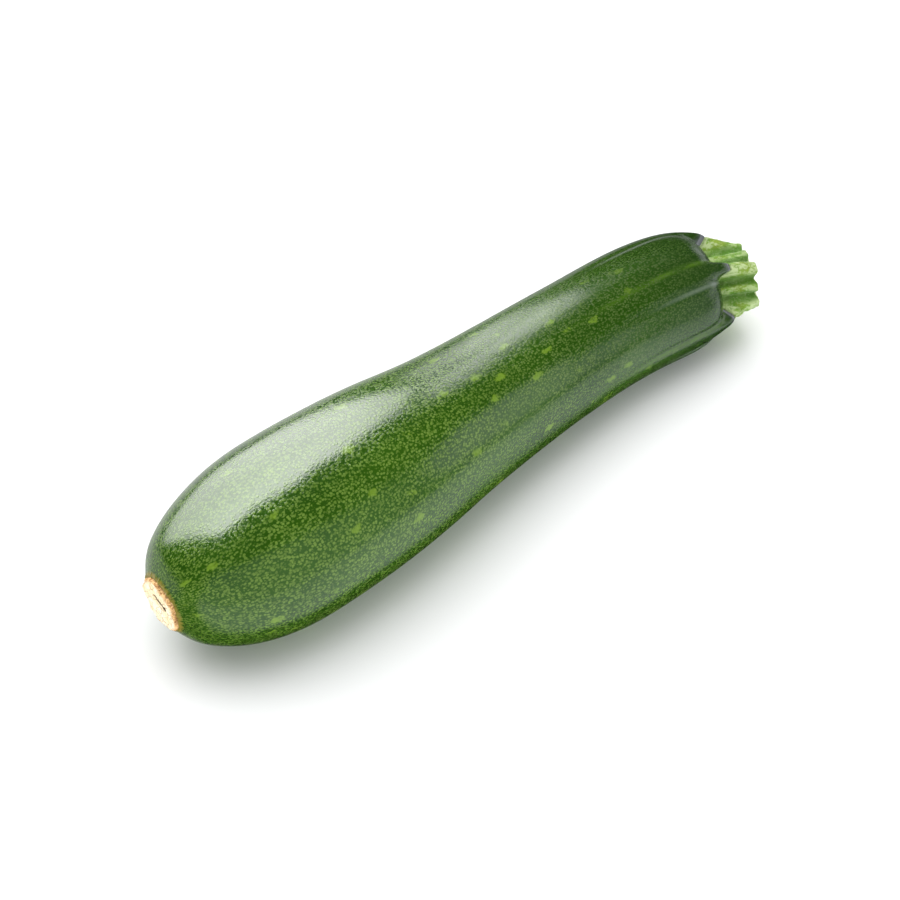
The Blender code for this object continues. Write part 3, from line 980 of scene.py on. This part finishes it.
def make_neck_softbox():
    """A smaller, nearer and dimmer one. It shows in the neck as a patch that ends short of the shoulder."""
    looks, g = new_material("neck_softbox_light")
    where = g.here()
    x, _, z = g.parts(where)
    slanted = g.sum(x, g.times(g.sum(z, -NECK_LEVEL), NECK_SLANT))
    sides = g.times(g.ramp(slanted, *NECK_LEFT), g.ramp(slanted, *NECK_RIGHT))
    ends = g.times(g.ramp(z, *NECK_BOTTOM), g.ramp(z, *NECK_TOP))
    streaks = g.ramp(g.noise(g.scaled(where, NECK_STREAKS), 0.7, 3.0)["Fac"], *NECK_STREAK_RANGE)
    rising = g.sum(g.times(z, NECK_RISE), NECK_BASE)
    g.glowing(WHITE, g.times(g.times(g.times(sides, ends), streaks), rising))
    leaning_card("neck_softbox", NECK_REACH, NECK_SPAN, NECK_HEIGHTS, looks)


def make_cards():
    """Pale walls in front and behind, each running down past the floor, and one past the stem."""
    looks, g = new_material("front_card_light")
    x, _, z = g.parts(g.here())
    upper = g.times(g.ramp(x, *FRONT_DIMMER), g.ramp(z, LOW_PART_TOP, UPPER_PART_BOTTOM))
    lower = g.times(g.ramp(z, *LOW_FADE), g.ramp(z, UPPER_PART_BOTTOM, LOW_PART_TOP))
    g.glowing(FRONT_COLOUR, g.sum(upper, lower))
    gloss_card("front_card", FRONT_CORNERS, looks)
    looks, g = new_material("back_card_light")
    x, _, z = g.parts(g.here())
    g.glowing(BACK_COLOUR, g.times(g.ramp(z, *BACK_FADE), g.ramp(x, *BACK_DIMMER)))
    gloss_card("back_card", BACK_CORNERS, looks)
    looks, g = new_material("end_card_light")
    g.glowing(END_COLOUR, END_CARD)
    gloss_card("end_card", END_CORNERS, looks)


def make_world():
    """A white room: light mostly from behind and above, weaker from all sides."""
    world = bpy.data.worlds.new("studio")
    bpy.context.scene.world = world
    world.use_nodes = True
    world.cycles_visibility.glossy = False
    g = Graph(world.node_tree)
    x, y, z = g.parts(g.add("ShaderNodeTexCoord").outputs["Generated"])
    angle = g.add("ShaderNodeMath", {0: z, 1: y}, operation="ARCTAN2").outputs[0]
    angle = g.times(angle, 180.0 / math.pi)
    edges = g.times(g.ramp(angle, *KEY_BEFORE), g.ramp(angle, *KEY_BEHIND))
    sides = g.times(g.ramp(x, *KEY_RIGHT), g.ramp(x, *KEY_LEFT))
    key = g.times(g.times(edges, sides), KEY_LIGHT)
    front = g.ramp(angle, FRONT_START, FRONT_FULL, 0.0, FRONT_LIGHT)
    light = g.sum(g.sum(key, front), ROOM_LIGHT)
    # The camera itself sees plain white
    seen = g.add("ShaderNodeLightPath").outputs["Is Camera Ray"]
    glow = g.add("ShaderNodeBackground", {"Color": WHITE, "Strength": light})
    plain = g.add("ShaderNodeBackground", {"Color": WHITE, "Strength": 1.0})
    both = g.add("ShaderNodeMixShader", {0: seen, 1: glow.outputs[0], 2: plain.outputs[0]})
    g.add("ShaderNodeOutputWorld", {"Surface": both.outputs[0]})


make_floor()
make_softbox()
make_neck_softbox()
make_cards()
make_world()

# Camera, from the photograph's side
CAMERA_TURN, CAMERA_RISE = -40.8, 43.0
CAMERA_DISTANCE = 1.0
CAMERA_LENS = 165.2
CAMERA_REACH = (0.05, 20.0)
AIM = (-0.00666, -0.00036, 0.01539)


def make_camera():
    turn, rise = math.radians(CAMERA_TURN), math.radians(CAMERA_RISE)
    back = Vector((math.sin(turn) * math.cos(rise), -math.cos(turn) * math.cos(rise), math.sin(rise)))
    lens = bpy.data.cameras.new("camera")
    lens.lens = CAMERA_LENS
    lens.clip_start, lens.clip_end = CAMERA_REACH
    made = bpy.data.objects.new("camera", lens)
    made.location = Vector(AIM) + back * CAMERA_DISTANCE
    made.rotation_mode = "QUATERNION"
    made.rotation_quaternion = (-back).to_track_quat("-Z", "Y")
    bpy.context.scene.collection.objects.link(made)
    bpy.context.scene.camera = made


make_camera()
bpy.context.scene.view_settings.view_transform = "Standard"
